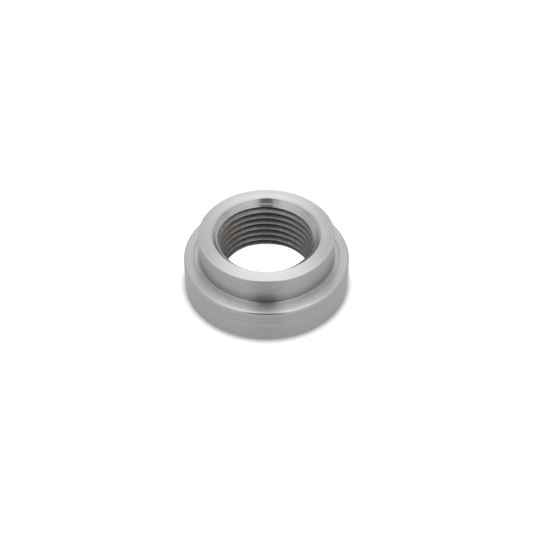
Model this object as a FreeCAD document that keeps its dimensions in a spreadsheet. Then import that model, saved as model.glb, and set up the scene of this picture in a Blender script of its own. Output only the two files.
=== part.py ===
import FreeCAD, Part
import math
import os
import sys

import Sketcher

# Weld bung: one turned steel ring with a thick flange, a narrower boss on top of it
# and a tapped hole right through. The boss drops into the hole in the tank or pipe
# wall, the flange stays outside it, and the weld runs round the corner between them.
# Millimetres. The axis is Z, the origin is the centre of the flange's flat base,
# and the boss points up.

# Sizes
# The hole is drilled 29/32 inch for a 3/4 inch pipe tap. The boss is a wall round the
# hole, and the flange is a ledge round the boss, which comes to 1 5/8 inch across.
SIZES = [
    ("bore_diameter", "23.02"),
    ("boss_wall", "5.355"),
    ("boss_length", "6.99"),
    ("ledge_width", "3.775"),
    ("flange_thickness", "9.27"),
    ("mouth_countersink_width", "1.89"),
    ("base_countersink_width", "2.34"),
    ("countersink_angle", "90"),
    ("root_relief_width", "1.3"),
    ("root_relief_depth", "0.1"),
    ("root_fillet", "0.8"),
    ("flange_top_round", "0.5"),
    ("flange_base_chamfer", "0.4"),
    ("boss_top_chamfer", "0.12"),
]

doc = FreeCAD.newDocument("weld_bung")
sheet = doc.addObject("Spreadsheet::Sheet", "Sizes")
for row, (alias, value) in enumerate(SIZES, start=1):
    sheet.set("A%d" % row, alias)
    sheet.set("B%d" % row, value)
    sheet.setAlias("B%d" % row, alias)
doc.recompute()


def size(alias):
    """A value read back from the sheet."""
    return float(sheet.get(alias))


def origin_plane(body, role):
    """One of the body's own three origin planes."""
    for feature in body.Origin.OriginFeatures:
        if feature.Role == role:
            return feature
    raise RuntimeError("no origin plane " + role)


def section_sketch(body, name, points):
    """A closed outline of straight lines in the XZ plane, x as radius and y as height.

    Each line that is drawn level or upright is held so, and the first point is held
    on the origin. The other sizes are added by bind."""
    sketch = body.newObject("Sketcher::SketchObject", name)
    sketch.AttachmentSupport = (origin_plane(body, "XZ_Plane"), [""])
    sketch.MapMode = "FlatFace"
    count = len(points)
    for index, (x, y) in enumerate(points):
        next_x, next_y = points[(index + 1) % count]
        start = FreeCAD.Vector(x, y, 0)
        end = FreeCAD.Vector(next_x, next_y, 0)
        sketch.addGeometry(Part.LineSegment(start, end), False)
    for index, (x, y) in enumerate(points):
        following = (index + 1) % count
        next_x, next_y = points[following]
        sketch.addConstraint(Sketcher.Constraint("Coincident", index, 2, following, 1))
        if y == next_y:
            sketch.addConstraint(Sketcher.Constraint("Horizontal", index))
        elif x == next_x:
            sketch.addConstraint(Sketcher.Constraint("Vertical", index))
    sketch.addConstraint(Sketcher.Constraint("Coincident", 0, 1, -1, 1))
    return sketch


def bind(sketch, name, kind, first, second, start_value, expression):
    """A named distance between two corners, tied to the sheet.

    A corner is the number of the line that starts there, or None for the origin."""
    ends = []
    for corner in (first, second):
        ends += [-1, 1] if corner is None else [corner, 1]
    index = sketch.addConstraint(Sketcher.Constraint(kind, *ends, start_value))
    sketch.renameConstraint(index, name)
    sketch.setExpression("Constraints." + name, expression)


def ring_edge(shape, radius, height):
    """Name of the full circle of this radius at this height on the axis."""
    for number, edge in enumerate(shape.Edges, start=1):
        curve = edge.Curve
        if not isinstance(curve, Part.Circle) or not edge.isClosed():
            continue
        if abs(curve.Radius - radius) < 1e-4 and abs(curve.Center.z - height) < 1e-4:
            return "Edge%d" % number
    raise RuntimeError("no circle of radius %.3f at height %.3f" % (radius, height))


bore_radius = size("bore_diameter") / 2
boss_radius = bore_radius + size("boss_wall")
flange_radius = boss_radius + size("ledge_width")
mouth_width = size("mouth_countersink_width")
base_width = size("base_countersink_width")
flange_top = size("flange_thickness")
boss_top = flange_top + size("boss_length")
relief_width = size("root_relief_width")
relief_depth = size("root_relief_depth")
relief_floor = flange_top - relief_depth
half_angle = math.radians(size("countersink_angle") / 2)
mouth_depth = mouth_width / math.tan(half_angle)
base_depth = base_width / math.tan(half_angle)

body = doc.addObject("PartDesign::Body", "BungBody")
body.Label = "bung_body"
body.Placement = FreeCAD.Placement()

# Turned blank
# The outline steps from the flange to the boss. Beside the boss the tool has run a
# little below the ledge, which leaves a shallow relief with a sloping outer side.
blank_sketch = section_sketch(body, "BlankSection", [
    (0, 0),
    (flange_radius, 0),
    (flange_radius, flange_top),
    (boss_radius + relief_width, flange_top),
    (boss_radius + relief_width - relief_depth, relief_floor),
    (boss_radius, relief_floor),
    (boss_radius, boss_top),
    (0, boss_top),
])
bind(blank_sketch, "FlangeRadius", "DistanceX", None, 1, flange_radius,
     "Sizes.bore_diameter / 2 + Sizes.boss_wall + Sizes.ledge_width")
bind(blank_sketch, "FlangeThickness", "DistanceY", 1, 2, flange_top,
     "Sizes.flange_thickness")
bind(blank_sketch, "ReliefWidth", "DistanceX", 5, 3, relief_width,
     "Sizes.root_relief_width")
bind(blank_sketch, "ReliefSideRun", "DistanceX", 4, 3, relief_depth,
     "Sizes.root_relief_depth")
bind(blank_sketch, "ReliefDepth", "DistanceY", 4, 3, relief_depth,
     "Sizes.root_relief_depth")
bind(blank_sketch, "BossRadius", "DistanceX", None, 6, boss_radius,
     "Sizes.bore_diameter / 2 + Sizes.boss_wall")
bind(blank_sketch, "BossLength", "DistanceY", 2, 6, boss_top - flange_top,
     "Sizes.boss_length")

blank = body.newObject("PartDesign::Revolution", "Blank")
blank.Profile = blank_sketch
blank.ReferenceAxis = (blank_sketch, ["V_Axis"])
blank.Angle = 360
doc.recompute()
blank_volume = blank.Shape.Volume

# Hole
# One drilled hole right through, opened by a countersink at each end. Its wall is the
# drilled one that the thread's crests stand on.
bore_sketch = section_sketch(body, "BoreSection", [
    (0, 0),
    (bore_radius + base_width, 0),
    (bore_radius, base_depth),
    (bore_radius, boss_top - mouth_depth),
    (bore_radius + mouth_width, boss_top),
    (0, boss_top),
])
bind(bore_sketch, "BoreRadius", "DistanceX", None, 2, bore_radius,
     "Sizes.bore_diameter / 2")
bind(bore_sketch, "BaseWidth", "DistanceX", 2, 1, base_width,
     "Sizes.base_countersink_width")
bind(bore_sketch, "BaseDepth", "DistanceY", 1, 2, base_depth,
     "Sizes.base_countersink_width / tan(Sizes.countersink_angle / 2 * 1 deg)")
bind(bore_sketch, "MouthWidth", "DistanceX", 3, 4, mouth_width,
     "Sizes.mouth_countersink_width")
bind(bore_sketch, "MouthDepth", "DistanceY", 3, 4, mouth_depth,
     "Sizes.mouth_countersink_width / tan(Sizes.countersink_angle / 2 * 1 deg)")
bind(bore_sketch, "Height", "DistanceY", 1, 4, boss_top,
     "Sizes.flange_thickness + Sizes.boss_length")

bore = body.newObject("PartDesign::Groove", "Bore")
bore.Profile = bore_sketch
bore.ReferenceAxis = (bore_sketch, ["V_Axis"])
bore.Angle = 360
doc.recompute()
if bore.Shape.Volume > blank_volume - math.pi * bore_radius ** 2 * boss_top:
    raise RuntimeError("the hole was not cut")

# Root of the boss
# The tool's nose leaves a small round where the boss meets the relief.
root = body.newObject("PartDesign::Fillet", "BossRoot")
root.Base = (bore, [ring_edge(bore.Shape, boss_radius, relief_floor)])
root.setExpression("Radius", "Sizes.root_fillet")
doc.recompute()

# Edge breaks
# The flange's upper edge is rounded, its lower one is chamfered, and the boss has
# only a light break on its end.
flange_round = body.newObject("PartDesign::Fillet", "FlangeTopRound")
flange_round.Base = (root, [ring_edge(root.Shape, flange_radius, flange_top)])
flange_round.setExpression("Radius", "Sizes.flange_top_round")
doc.recompute()

base_chamfer = body.newObject("PartDesign::Chamfer", "FlangeBaseChamfer")
base_chamfer.Base = (flange_round, [ring_edge(flange_round.Shape, flange_radius, 0)])
base_chamfer.setExpression("Size", "Sizes.flange_base_chamfer")
doc.recompute()

boss_chamfer = body.newObject("PartDesign::Chamfer", "BossTopChamfer")
boss_chamfer.Base = (base_chamfer, [ring_edge(base_chamfer.Shape, boss_radius, boss_top)])
boss_chamfer.setExpression("Size", "Sizes.boss_top_chamfer")
body.Tip = boss_chamfer
doc.recompute()

# Checks before anything is written
for item in doc.Objects:
    if "Invalid" in item.State or "Error" in item.State:
        sys.exit("failed feature: " + item.Name)
shape = body.Shape
if shape.isNull() or not shape.isValid() or len(shape.Solids) != 1:
    sys.exit("the body is not one valid solid")
box = shape.optimalBoundingBox(False)
if abs(box.ZMin) > 1e-4 or abs(box.ZMax - boss_top) > 1e-4:
    sys.exit("the body does not stand on its base")

os.makedirs("parts", exist_ok=True)
shape.exportStep("parts/" + body.Label + ".step")
print("bung_body: %.1f mm3, %.3f x %.3f x %.3f mm" % (
    shape.Volume, box.XLength, box.YLength, box.ZLength))
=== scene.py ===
import math

import bmesh
import bpy
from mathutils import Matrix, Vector


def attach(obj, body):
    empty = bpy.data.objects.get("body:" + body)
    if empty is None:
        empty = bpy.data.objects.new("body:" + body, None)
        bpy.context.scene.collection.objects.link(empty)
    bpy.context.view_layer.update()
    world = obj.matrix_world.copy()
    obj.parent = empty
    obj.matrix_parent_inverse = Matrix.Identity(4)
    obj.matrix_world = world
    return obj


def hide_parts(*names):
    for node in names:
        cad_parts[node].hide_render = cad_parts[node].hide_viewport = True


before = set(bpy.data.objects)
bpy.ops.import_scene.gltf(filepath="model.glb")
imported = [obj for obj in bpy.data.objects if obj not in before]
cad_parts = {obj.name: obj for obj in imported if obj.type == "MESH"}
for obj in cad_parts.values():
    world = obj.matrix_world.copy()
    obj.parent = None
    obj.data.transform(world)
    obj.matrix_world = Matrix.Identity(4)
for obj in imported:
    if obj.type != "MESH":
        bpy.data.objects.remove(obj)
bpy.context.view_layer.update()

# Turned weld bung with its pipe thread, on a white studio floor.
# Lengths are written in millimetres and become metres in the meshes and materials.
MM = 0.001
TAU = 2 * math.pi

# Section: the part's sizes, but for the sharper corner at the boss's root.
# The countersinks are cut at 90 degrees, so each is as deep as it is wide.
BORE_R = 11.51
BOSS_WALL = 5.355
BOSS_LENGTH = 6.99
LEDGE_WIDTH = 3.775
FLANGE_TOP = 9.27
MOUTH_WIDTH = 1.89
BASE_WIDTH = 2.34
RELIEF_WIDTH = 1.3
RELIEF_DEPTH = 0.1
ROOT_FILLET = 0.3
FLANGE_ROUND = 0.5
BASE_CHAMFER = 0.4
BOSS_CHAMFER = 0.12

BOSS_R = BORE_R + BOSS_WALL
FLANGE_R = BOSS_R + LEDGE_WIDTH
RELIEF_R = BOSS_R + RELIEF_WIDTH
MOUTH_R = BORE_R + MOUTH_WIDTH
BASE_R = BORE_R + BASE_WIDTH
BOSS_TOP = FLANGE_TOP + BOSS_LENGTH

# Thread: 14 turns an inch, right-hand, flanks at 60 degrees to each other, with the
# slight taper of a pipe thread
PITCH = 25.4 / 14
CREST_FLAT = 0.11 * PITCH
ROOT_FLAT = 0.13 * PITCH
FLANK_SLOPE = math.sqrt(3)
THREAD_DEPTH = (PITCH - CREST_FLAT - ROOT_FLAT) / 2 * FLANK_SLOPE
TAPER = 1 / 32
# the crests' radius at one height, and where a crest's lower edge crosses the +X side
CREST_R = 11.42
CREST_R_AT = 14.52
CREST_EDGE_Z = 9.04
# soft corners: what a crest's edge loses in width and depth, and a root's edge in depth
CREST_EDGE_WIDTH = 0.03
CREST_EDGE_DROP = 0.0175
ROOT_EDGE_RISE = 0.025

# Mesh: steps round the axis, along a flank, across a crest's flat and along an arc
SEGMENTS = 360
FLANK_STEPS = 6
FLAT_STEPS = 3
ARC_STEPS = 10
# faces across a crest, with its two soft edges
CREST_FACES = FLAT_STEPS + 2
# turns below and above CREST_EDGE_Z that are followed, past both ends of the hole
TURNS_EACH_WAY = 7
# height left free between the wall's points and the rims
RIM_GAP = 0.02
# a point of the wall is cut by the tap when it lies this far outside the countersinks
CUT_MARGIN = 1e-4
SHARP_ANGLE = math.radians(24)

# Material slots of the bung
TURNED, CUT = 0, 1


# Thread surface
def thread_samples():
    """Depths outwards from the crest over one pitch, as (height above the crest's lower
    edge, depth) pairs, from one lower edge up to just under the next."""
    root_low = CREST_FLAT + THREAD_DEPTH / FLANK_SLOPE
    root_high = root_low + ROOT_FLAT
    root_edge = THREAD_DEPTH - ROOT_EDGE_RISE
    flat = CREST_FLAT - 2 * CREST_EDGE_WIDTH
    on_flank = [i / FLANK_STEPS for i in range(1, FLANK_STEPS)]

    points = [(0.0, CREST_EDGE_DROP)]
    points += [(CREST_EDGE_WIDTH + flat * i / FLAT_STEPS, 0.0) for i in range(FLAT_STEPS + 1)]
    points.append((CREST_FLAT, CREST_EDGE_DROP))
    points += [(CREST_FLAT + t * (root_low - CREST_FLAT), t * THREAD_DEPTH) for t in on_flank]
    points.append((root_low, root_edge))
    points.append(((root_low + root_high) / 2, THREAD_DEPTH))
    points.append((root_high, root_edge))
    points += [(root_high + t * (PITCH - root_high), (1 - t) * THREAD_DEPTH) for t in on_flank]
    return points


SAMPLES = thread_samples()
PER_TURN = len(SAMPLES)


def cone_radius(z):
    """Radius of the two countersinks at a height."""
    return max(MOUTH_R - (BOSS_TOP - z), BASE_R - z)


def bore_column(angle):
    """The bore wall at one angle, as {running number: (radius, height)}."""
    turn = angle / TAU
    column = {}
    for k in range(-TURNS_EACH_WAY * PER_TURN, TURNS_EACH_WAY * PER_TURN):
        lap, index = divmod(k, PER_TURN)
        height, depth = SAMPLES[index]
        z = CREST_EDGE_Z + (lap + turn) * PITCH + height
        if RIM_GAP < z < BOSS_TOP - RIM_GAP:
            column[k] = (CREST_R - (CREST_R_AT - z) * TAPER + depth, z)
    keys = sorted(column)
    # a point beside the line where a countersink and the thread meet moves onto it
    over = {k: column[k][0] - cone_radius(column[k][1]) for k in keys}
    for a, b in zip(keys, keys[1:]):
        if over[a] * over[b] >= 0:
            continue
        t = over[a] / (over[a] - over[b])
        near = a if t < 0.5 else b
        column[near] = tuple(p + t * (q - p) for p, q in zip(column[a], column[b]))
        over[near] = 0.0
    return {k: (max(r, cone_radius(z)), z) for k, (r, z) in column.items()}


# Outside
def line(start, end, steps=1):
    """Points along a straight run of the section, without its end."""
    return [tuple(p + (q - p) * i / steps for p, q in zip(start, end)) for i in range(steps)]


def arc(center, radius, start, end):
    """Points along an arc of the section, without its end, with the angles in degrees."""
    angles = [math.radians(start + (end - start) * i / ARC_STEPS) for i in range(ARC_STEPS)]
    return [(center[0] + radius * math.cos(a), center[1] + radius * math.sin(a)) for a in angles]


def outer_section():
    """From the base countersink's rim, round the outside, to the mouth's rim."""
    base_rim = (BASE_R, 0.0)
    base_edge = (FLANGE_R - BASE_CHAMFER, 0.0)
    side_low = (FLANGE_R, BASE_CHAMFER)
    side_high = (FLANGE_R, FLANGE_TOP - FLANGE_ROUND)
    ledge_out = (FLANGE_R - FLANGE_ROUND, FLANGE_TOP)
    ledge_in = (RELIEF_R, FLANGE_TOP)
    relief_out = (RELIEF_R - RELIEF_DEPTH, FLANGE_TOP - RELIEF_DEPTH)
    relief_in = (BOSS_R + ROOT_FILLET, relief_out[1])
    boss_low = (BOSS_R, relief_in[1] + ROOT_FILLET)
    boss_high = (BOSS_R, BOSS_TOP - BOSS_CHAMFER)
    top_edge = (BOSS_R - BOSS_CHAMFER, BOSS_TOP)
    mouth_rim = (MOUTH_R, BOSS_TOP)

    points = line(base_rim, base_edge, steps=4)
    points += line(base_edge, side_low)
    points += line(side_low, side_high, steps=6)
    points += arc((ledge_out[0], side_high[1]), FLANGE_ROUND, 0, 90)
    points += line(ledge_out, ledge_in, steps=3)
    points += line(ledge_in, relief_out)
    points += line(relief_out, relief_in)
    points += arc((relief_in[0], boss_low[1]), ROOT_FILLET, 270, 180)
    points += line(boss_low, boss_high, steps=5)
    points += line(boss_high, top_edge)
    points += line(top_edge, mouth_rim, steps=4)
    points.append(mouth_rim)
    return points


def build_bung():
    """One closed mesh: the threaded bore and the turned outside share their two rims."""
    bm = bmesh.new()

    def vertex(angle, r, z):
        return bm.verts.new((r * MM * math.cos(angle), r * MM * math.sin(angle), z * MM))

    section = outer_section()
    angles = [TAU * i / SEGMENTS for i in range(SEGMENTS)]
    outside = [[vertex(a, r, z) for r, z in section] for a in angles]
    # the bore's points, and the numbers of those that the tap has cut
    wall, cut = [], []
    for a in angles:
        column = bore_column(a)
        wall.append({k: vertex(a, r, z) for k, (r, z) in column.items()})
        cut.append({k for k, (r, z) in column.items() if r > cone_radius(z) + CUT_MARGIN})

    for i in range(SEGMENTS):
        j = (i + 1) % SEGMENTS
        here, there = outside[i], outside[j]
        for n in range(len(section) - 1):
            bm.faces.new((here[n], there[n], there[n + 1], here[n + 1]))
        # all the way round, the thread has climbed one turn
        climb = PER_TURN if j == 0 else 0
        left = wall[i]
        right = {k - climb: v for k, v in wall[j].items()}
        low_left, low_right = min(left), min(right)
        high_left, high_right = max(left), max(right)
        foot_left, foot_right = here[0], there[0]
        rim_left, rim_right = here[-1], there[-1]
        # the wall's points rise to the right, so one may come in at the base there
        if low_right < low_left:
            bm.faces.new((foot_left, right[low_right], foot_right))
            bm.faces.new((foot_left, left[low_left], right[low_left], right[low_right]))
        else:
            bm.faces.new((foot_left, left[low_left], right[low_left], foot_right))
        top = min(high_left, high_right)
        for k in range(low_left, top):
            face = bm.faces.new((left[k], left[k + 1], right[k + 1], right[k]))
            # the crests' flats keep the drilled wall's finish
            tapped = (k in cut[i] or k + 1 in cut[i]) and k % PER_TURN >= CREST_FACES
            face.material_index = CUT if tapped else TURNED
        # and one may go out at the mouth
        if high_left > high_right:
            bm.faces.new((left[top], left[top + 1], rim_right, right[top]))
            bm.faces.new((left[top + 1], rim_left, rim_right))
        else:
            bm.faces.new((left[top], rim_left, rim_right, right[top]))

    bmesh.ops.recalc_face_normals(bm, faces=bm.faces)
    for face in bm.faces:
        face.smooth = True
    mesh = bpy.data.meshes.new("bung_turned")
    bm.to_mesh(mesh)
    bm.free()
    mesh.set_sharp_from_angle(angle=SHARP_ANGLE)
    piece = bpy.data.objects.new("bung_turned", mesh)
    bpy.context.scene.collection.objects.link(piece)
    return piece


# Node trees
class Graph:
    """Short ways to add nodes to one node tree."""

    def __init__(self, tree):
        self.nodes, self.links = tree.nodes, tree.links
        self.nodes.clear()

    def add(self, kind, inputs, **settings):
        """A node. Each input gets a number, a colour or another node's output."""
        node = self.nodes.new("ShaderNode" + kind)
        for name, value in settings.items():
            setattr(node, name, value)
        for name, value in inputs.items():
            if isinstance(value, bpy.types.NodeSocket):
                self.links.new(value, node.inputs[name])
            else:
                node.inputs[name].default_value = value
        return node

    def math(self, operation, *values):
        return self.add("Math", dict(enumerate(values)), operation=operation).outputs[0]

    def product(self, first, *others):
        for other in others:
            first = self.math("MULTIPLY", first, other)
        return first

    def total(self, first, *others):
        for other in others:
            first = self.math("ADD", first, other)
        return first

    def length(self, x, y):
        """Length of the vector (x, y)."""
        return self.math("SQRT", self.total(self.product(x, x), self.product(y, y)))

    def near(self, value, middle, half):
        """1 within half of a middle value, else 0."""
        return self.math("COMPARE", value, middle, half)

    def remap(self, value, source, target, smooth=True):
        """A value carried from one range to another, and held at its ends."""
        return self.add("MapRange", {
            "Value": value, "From Min": source[0], "From Max": source[1],
            "To Min": target[0], "To Max": target[1],
        }, interpolation_type="SMOOTHSTEP" if smooth else "LINEAR").outputs[0]

    def object_coords(self):
        return self.add("TexCoord", {}).outputs["Object"]

    def split(self, vector):
        return self.add("SeparateXYZ", {0: vector}).outputs

    def noise(self, vector, scale, detail, roughness=0.5):
        return self.add("TexNoise", {"Vector": vector, "Scale": scale, "Detail": detail,
                                     "Roughness": roughness}).outputs["Fac"]

    def ramp(self, value, stops):
        """Colour by a value, from (position, colour) stops in rising order."""
        node = self.add("ValToRGB", {0: value})
        elements = node.color_ramp.elements
        while len(elements) < len(stops):
            elements.new(0.5)
        for element, (position, colour) in zip(elements, stops):
            element.position = position
            element.color = (*colour, 1)
        return node.outputs[0]

    def scale(self, vector, factor):
        return self.add("VectorMath", {0: vector, "Scale": factor}, operation="SCALE").outputs[0]

    def bump(self, height, strength, distance):
        return self.add("Bump", {"Height": height, "Strength": strength,
                                 "Distance": distance}).outputs[0]


def new_material(name):
    """An empty material and its node tree."""
    material = bpy.data.materials.new(name)
    material.use_nodes = True
    return material, Graph(material.node_tree)


# Materials
# the range that holds most of a noise texture's values
NOISE_SPAN = (0.3, 0.7)
# noise cells a metre, for the lathe lines, the patches of polish and the thread's grain
LINE_SCALE = 2600
PATCH_SCALE = 120
GRAIN_SCALE = 1100
# how far a lathe line wanders round the axis, as a share of the way across
LINE_DRIFT = 0.004

STEEL_COLOURS = ((0.47, 0.468, 0.472), (0.57, 0.568, 0.572))
STEEL_ROUGHNESS = (0.22, 0.28)
# the thread's colours: its own slight brown tint, and darker as painted shade for the dim light
# inside the bore
THREAD_TINT_AND_SHADE = ((0.20, 0.189, 0.180), (0.33, 0.314, 0.300))
THREAD_ROUGHNESS = 0.42

# Marks on the turned faces, with painted light and shade: painted shade in a line along the
# relief's outer step, painted shade up the foot of the boss, the ledge faced with a coarser
# feed and painted lighter, and a torn ring halfway down the mouth's countersink, painted
# lighter as a highlight. HALF is half a mark's width. TONE (painted light or shade) and
# ROUGHNESS are what it adds.
STEP_SHADE_HALF = 0.08
STEP_SHADE_TONE = -0.2
FOOT_SHADE_HALF = 0.35
FOOT_SHADE_HEIGHT = 3.0
FOOT_SHADE_TONE = -0.26
LEDGE_HALF = 0.12
LEDGE_PAINTED_LIGHT = 0.22
LEDGE_ROUGHNESS = 0.09
TORN_HIGHLIGHT_R = BORE_R + 0.86
TORN_HIGHLIGHT_HALF = 0.15
TORN_HIGHLIGHT_TONE = 0.5
TORN_ROUGHNESS = 0.35

# Floor: its own grey, the reach of the shadow under the bung, how open the floor is in
# that shadow and clear of it, its tones there, and its glow in metal and through glass
FLOOR_GREY = 0.42
SHADOW_REACH = 2.4
SHADOW_OPENNESS = (0.5, 0.95)
SHADOW_TONES = (0.28, 0.95)
GLOW_IN_METAL = 0.33
GLOW_IN_GLASS = 0.55


def turned_steel():
    """Bare steel with lathe lines that run round the axis on every turned face."""
    material, g = new_material("turned_steel")
    coords = g.object_coords()
    x, y, z = g.split(coords)
    radius = g.length(x, y)
    # the lines change slowly round the axis, so that none is a perfect ring
    section = g.add("CombineXYZ", {0: g.total(radius, g.product(x, LINE_DRIFT)),
                                   1: g.total(z, g.product(y, LINE_DRIFT))}).outputs[0]
    fine = g.noise(section, LINE_SCALE, detail=4, roughness=0.55)
    broad = g.noise(coords, PATCH_SCALE, detail=5)
    steel = g.ramp(fine, list(zip(NOISE_SPAN, STEEL_COLOURS)))

    ledge = g.near(z, FLANGE_TOP * MM, LEDGE_HALF * MM)
    # painted shade: a darker line along the relief's outer step
    step_shade = g.product(g.near(radius, RELIEF_R * MM, STEP_SHADE_HALF * MM), ledge)
    # painted shade up the foot of the boss, in its corner with the ledge
    foot_shade = g.product(g.near(radius, BOSS_R * MM, FOOT_SHADE_HALF * MM),
                          g.math("GREATER_THAN", z, (FLANGE_TOP - 2 * RELIEF_DEPTH) * MM))
    foot_shade_rise = (FLANGE_TOP * MM, (FLANGE_TOP + FOOT_SHADE_HEIGHT) * MM)
    # the torn ring: rougher, and painted lighter as a highlight
    torn_and_highlight = g.product(g.near(radius, TORN_HIGHLIGHT_R * MM, TORN_HIGHLIGHT_HALF * MM),
                     g.math("GREATER_THAN", z, (BOSS_TOP - MOUTH_WIDTH) * MM))
    # the steel's colour, with painted shade at the relief's step and the boss's foot, and
    # painted light on the ledge and the torn ring
    tone = g.total(1.0,
                   g.product(step_shade, STEP_SHADE_TONE),
                   g.product(foot_shade, g.remap(z, foot_shade_rise, (FOOT_SHADE_TONE, 0.0))),
                   g.product(ledge, LEDGE_PAINTED_LIGHT),
                   g.product(torn_and_highlight, TORN_HIGHLIGHT_TONE))
    roughness = g.total(g.remap(broad, NOISE_SPAN, STEEL_ROUGHNESS, smooth=False),
                        g.product(ledge, LEDGE_ROUGHNESS),
                        g.product(torn_and_highlight, TORN_ROUGHNESS))
    # with a quarter turn, the highlights are drawn out across the lathe lines
    shader = g.add("BsdfPrincipled", {
        "Base Color": g.scale(steel, tone),
        "Metallic": 1.0,
        "Roughness": roughness,
        "Anisotropic": 0.95,
        "Anisotropic Rotation": 0.25,
        "Tangent": g.add("Tangent", {}, direction_type="RADIAL", axis="Z").outputs[0],
        "Normal": g.bump(fine, strength=0.35, distance=0.03 * MM),
    })
    g.add("OutputMaterial", {0: shader.outputs[0]})
    return material


def cut_steel():
    """The thread: torn and rougher than the turned faces, with a slight brown tint of its own,
    and darker as painted shade for the dim light inside the bore.
    """
    material, g = new_material("cut_steel")
    # the grain is drawn out round the axis, the way that the tap tears the metal
    stretched = g.add("Mapping", {"Vector": g.object_coords(), "Scale": (1.0, 1.0, 3.0)})
    grain = g.noise(stretched.outputs[0], GRAIN_SCALE, detail=4)
    shader = g.add("BsdfPrincipled", {
        "Base Color": g.ramp(grain, list(zip(NOISE_SPAN, THREAD_TINT_AND_SHADE))),
        "Metallic": 1.0,
        "Roughness": THREAD_ROUGHNESS,
        "Normal": g.bump(grain, strength=0.4, distance=0.04 * MM),
    })
    g.add("OutputMaterial", {0: shader.outputs[0]})
    return material


def floor_material():
    """Matt white, shown a little brighter to the camera and in the metal, with its
    shadows kept."""
    material, g = new_material("studio_floor")
    # the camera sees it darken close to the bung, and white through the hole
    openness = g.add("AmbientOcclusion", {"Distance": SHADOW_REACH * MM}).outputs["AO"]
    lit = g.remap(openness, SHADOW_OPENNESS, SHADOW_TONES, smooth=False)
    from_axis = g.add("VectorMath", {0: g.object_coords()}, operation="LENGTH").outputs["Value"]
    hole = g.math("LESS_THAN", from_axis, BASE_R * MM)
    path = g.add("LightPath", {}).outputs
    glow = g.total(g.product(path["Is Camera Ray"], g.math("MAXIMUM", lit, hole)),
                   g.product(path["Is Glossy Ray"], GLOW_IN_METAL),
                   g.product(path["Is Transmission Ray"], GLOW_IN_GLASS))
    diffuse = g.add("BsdfDiffuse", {"Color": (FLOOR_GREY, FLOOR_GREY, FLOOR_GREY, 1)})
    emission = g.add("Emission", {"Strength": glow})
    both = g.add("AddShader", {0: diffuse.outputs[0], 1: emission.outputs[0]})
    g.add("OutputMaterial", {0: both.outputs[0]})
    return material


# Studio
FLOOR_HALF = 3.0

# What the metal mirrors, by direction: x across, y to the back and z up.
# Tones of the tent by height, and how much brighter its front half is
TENT_TONES = ((0.0, 0.95), (0.6, 0.58), (1.0, 0.80))
FRONT_EDGE = (-0.3, 0.1)
FRONT_GAIN = 1.40
# dark ellipses in front: the middle and the half size across and up, and the tone inside
CAMERA_SHAPE = ((0.0, 0.66), (0.19, 0.38), 0.1)
STAND_SHAPE = ((-0.02, 0.26), (0.40, 0.46), 0.0)
STEM_SHAPE = ((-0.29, 0.62), (0.025, 0.40), 0.45)
SHAPE_EDGE = (0.85, 1.15)
# a soft strip of light overhead, from front to back: its glow, its edge to each side,
# and where it comes up from the horizon and gives way to the lamp at the zenith
STRIP_GLOW = 0.68
STRIP_EDGE = (0.02, 0.24)
STRIP_RISE = (0.0, 0.5)
STRIP_END = (0.80, 0.97)

# The lamp over the bung and a little behind it, in metres and watts
LAMP_PLACE = Vector((0.0, 0.13, 0.60))
LAMP_SIZE = (0.45, 0.48)
LAMP_POWER = 0.8


def build_floor():
    mesh = bpy.data.meshes.new("floor")
    s = FLOOR_HALF
    mesh.from_pydata([(-s, -s, 0), (s, -s, 0), (s, s, 0), (-s, s, 0)], [], [(0, 1, 2, 3)])
    floor = bpy.data.objects.new("floor", mesh)
    bpy.context.scene.collection.objects.link(floor)
    floor.data.materials.append(floor_material())


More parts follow.
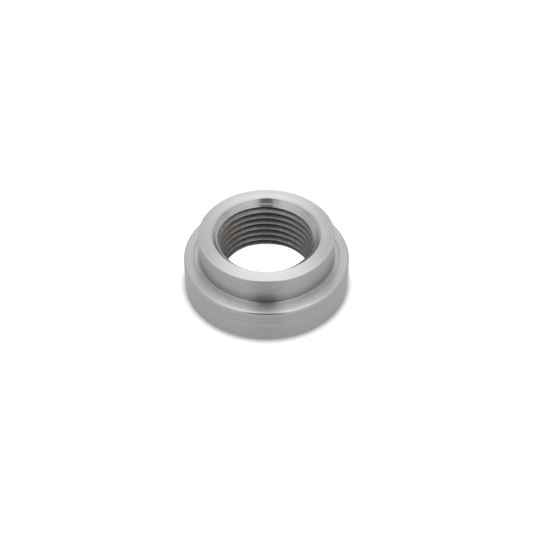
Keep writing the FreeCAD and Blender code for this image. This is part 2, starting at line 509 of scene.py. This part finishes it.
def build_world():
    """A white room for the camera. In the metal it is a light tent: brighter overhead,
    with the dark camera, its stand and a lamp's stem in front."""
    world = bpy.data.worlds.new("studio")
    bpy.context.scene.world = world
    world.use_nodes = True
    g = Graph(world.node_tree)
    x, y, z = g.split(g.add("TexCoord", {}).outputs["Generated"])

    def dark_ellipse(middle, half, tone):
        """The tone inside an ellipse of directions, and 1 outside it."""
        across = g.math("DIVIDE", g.math("SUBTRACT", x, middle[0]), half[0])
        up = g.math("DIVIDE", g.math("SUBTRACT", z, middle[1]), half[1])
        return g.remap(g.length(across, up), SHAPE_EDGE, (tone, 1.0))

    shapes = g.math("MINIMUM", dark_ellipse(*CAMERA_SHAPE), dark_ellipse(*STAND_SHAPE))
    shapes = g.math("MINIMUM", shapes, dark_ellipse(*STEM_SHAPE))
    front = g.math("LESS_THAN", y, 0.0)
    dark = g.total(g.product(front, shapes), g.math("SUBTRACT", 1.0, front))
    gain = g.remap(y, FRONT_EDGE, (FRONT_GAIN, 1.0))
    strip = g.product(g.remap(g.math("ABSOLUTE", x), STRIP_EDGE, (STRIP_GLOW, 0.0)),
                      g.remap(z, STRIP_RISE, (0.0, 1.0)),
                      g.remap(z, STRIP_END, (1.0, 0.0)))
    by_height = g.ramp(z, [(height, (tone, tone, tone)) for height, tone in TENT_TONES])
    lights = g.add("VectorMath", {0: by_height, 1: strip}, operation="ADD").outputs[0]
    tent = g.scale(lights, g.product(dark, gain))
    seen = g.add("LightPath", {}).outputs["Is Camera Ray"]
    colour = g.add("Mix", {"Factor": seen, "A": tent, "B": (1, 1, 1, 1)}, data_type="RGBA")
    back = g.add("Background", {"Color": colour.outputs["Result"], "Strength": 1.0})
    g.add("OutputWorld", {0: back.outputs[0]})


def build_lamp():
    lamp = bpy.data.lights.new("overhead", "AREA")
    lamp.shape = "RECTANGLE"
    lamp.size, lamp.size_y = LAMP_SIZE
    lamp.energy = LAMP_POWER
    holder = bpy.data.objects.new("overhead", lamp)
    holder.location = LAMP_PLACE
    holder.rotation_euler = (-LAMP_PLACE).to_track_quat("-Z", "Y").to_euler()
    bpy.context.scene.collection.objects.link(holder)


# Camera
# It looks along +Y from 44.5 degrees above the floor. The base's centre lies 14.5
# pixels under the middle of the 533-pixel frame, and the flange's radius is 81 pixels.
FRAME_PIXELS = 533
FOCAL_PIXELS = 1300
FLANGE_PIXELS = 81.0
DROP_PIXELS = 14.5
ELEVATION = math.radians(44.5)
SENSOR_WIDTH = 36


def build_camera():
    distance = FOCAL_PIXELS * FLANGE_R / FLANGE_PIXELS * MM
    data = bpy.data.cameras.new("view")
    data.sensor_width = SENSOR_WIDTH
    data.lens = SENSOR_WIDTH * FOCAL_PIXELS / FRAME_PIXELS
    data.clip_start = 0.01
    camera = bpy.data.objects.new("view", data)
    camera.location = (0, -distance * math.cos(ELEVATION), distance * math.sin(ELEVATION))
    tilt = ELEVATION - math.atan(DROP_PIXELS / FOCAL_PIXELS)
    camera.rotation_euler = (math.pi / 2 - tilt, 0, 0)
    bpy.context.scene.collection.objects.link(camera)
    bpy.context.scene.camera = camera


bung = build_bung()
bung.data.materials.append(turned_steel())
bung.data.materials.append(cut_steel())
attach(bung, "root")
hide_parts("bung_body")
build_floor()
build_world()
build_lamp()
build_camera()
bpy.context.scene.view_settings.view_transform = "Standard"
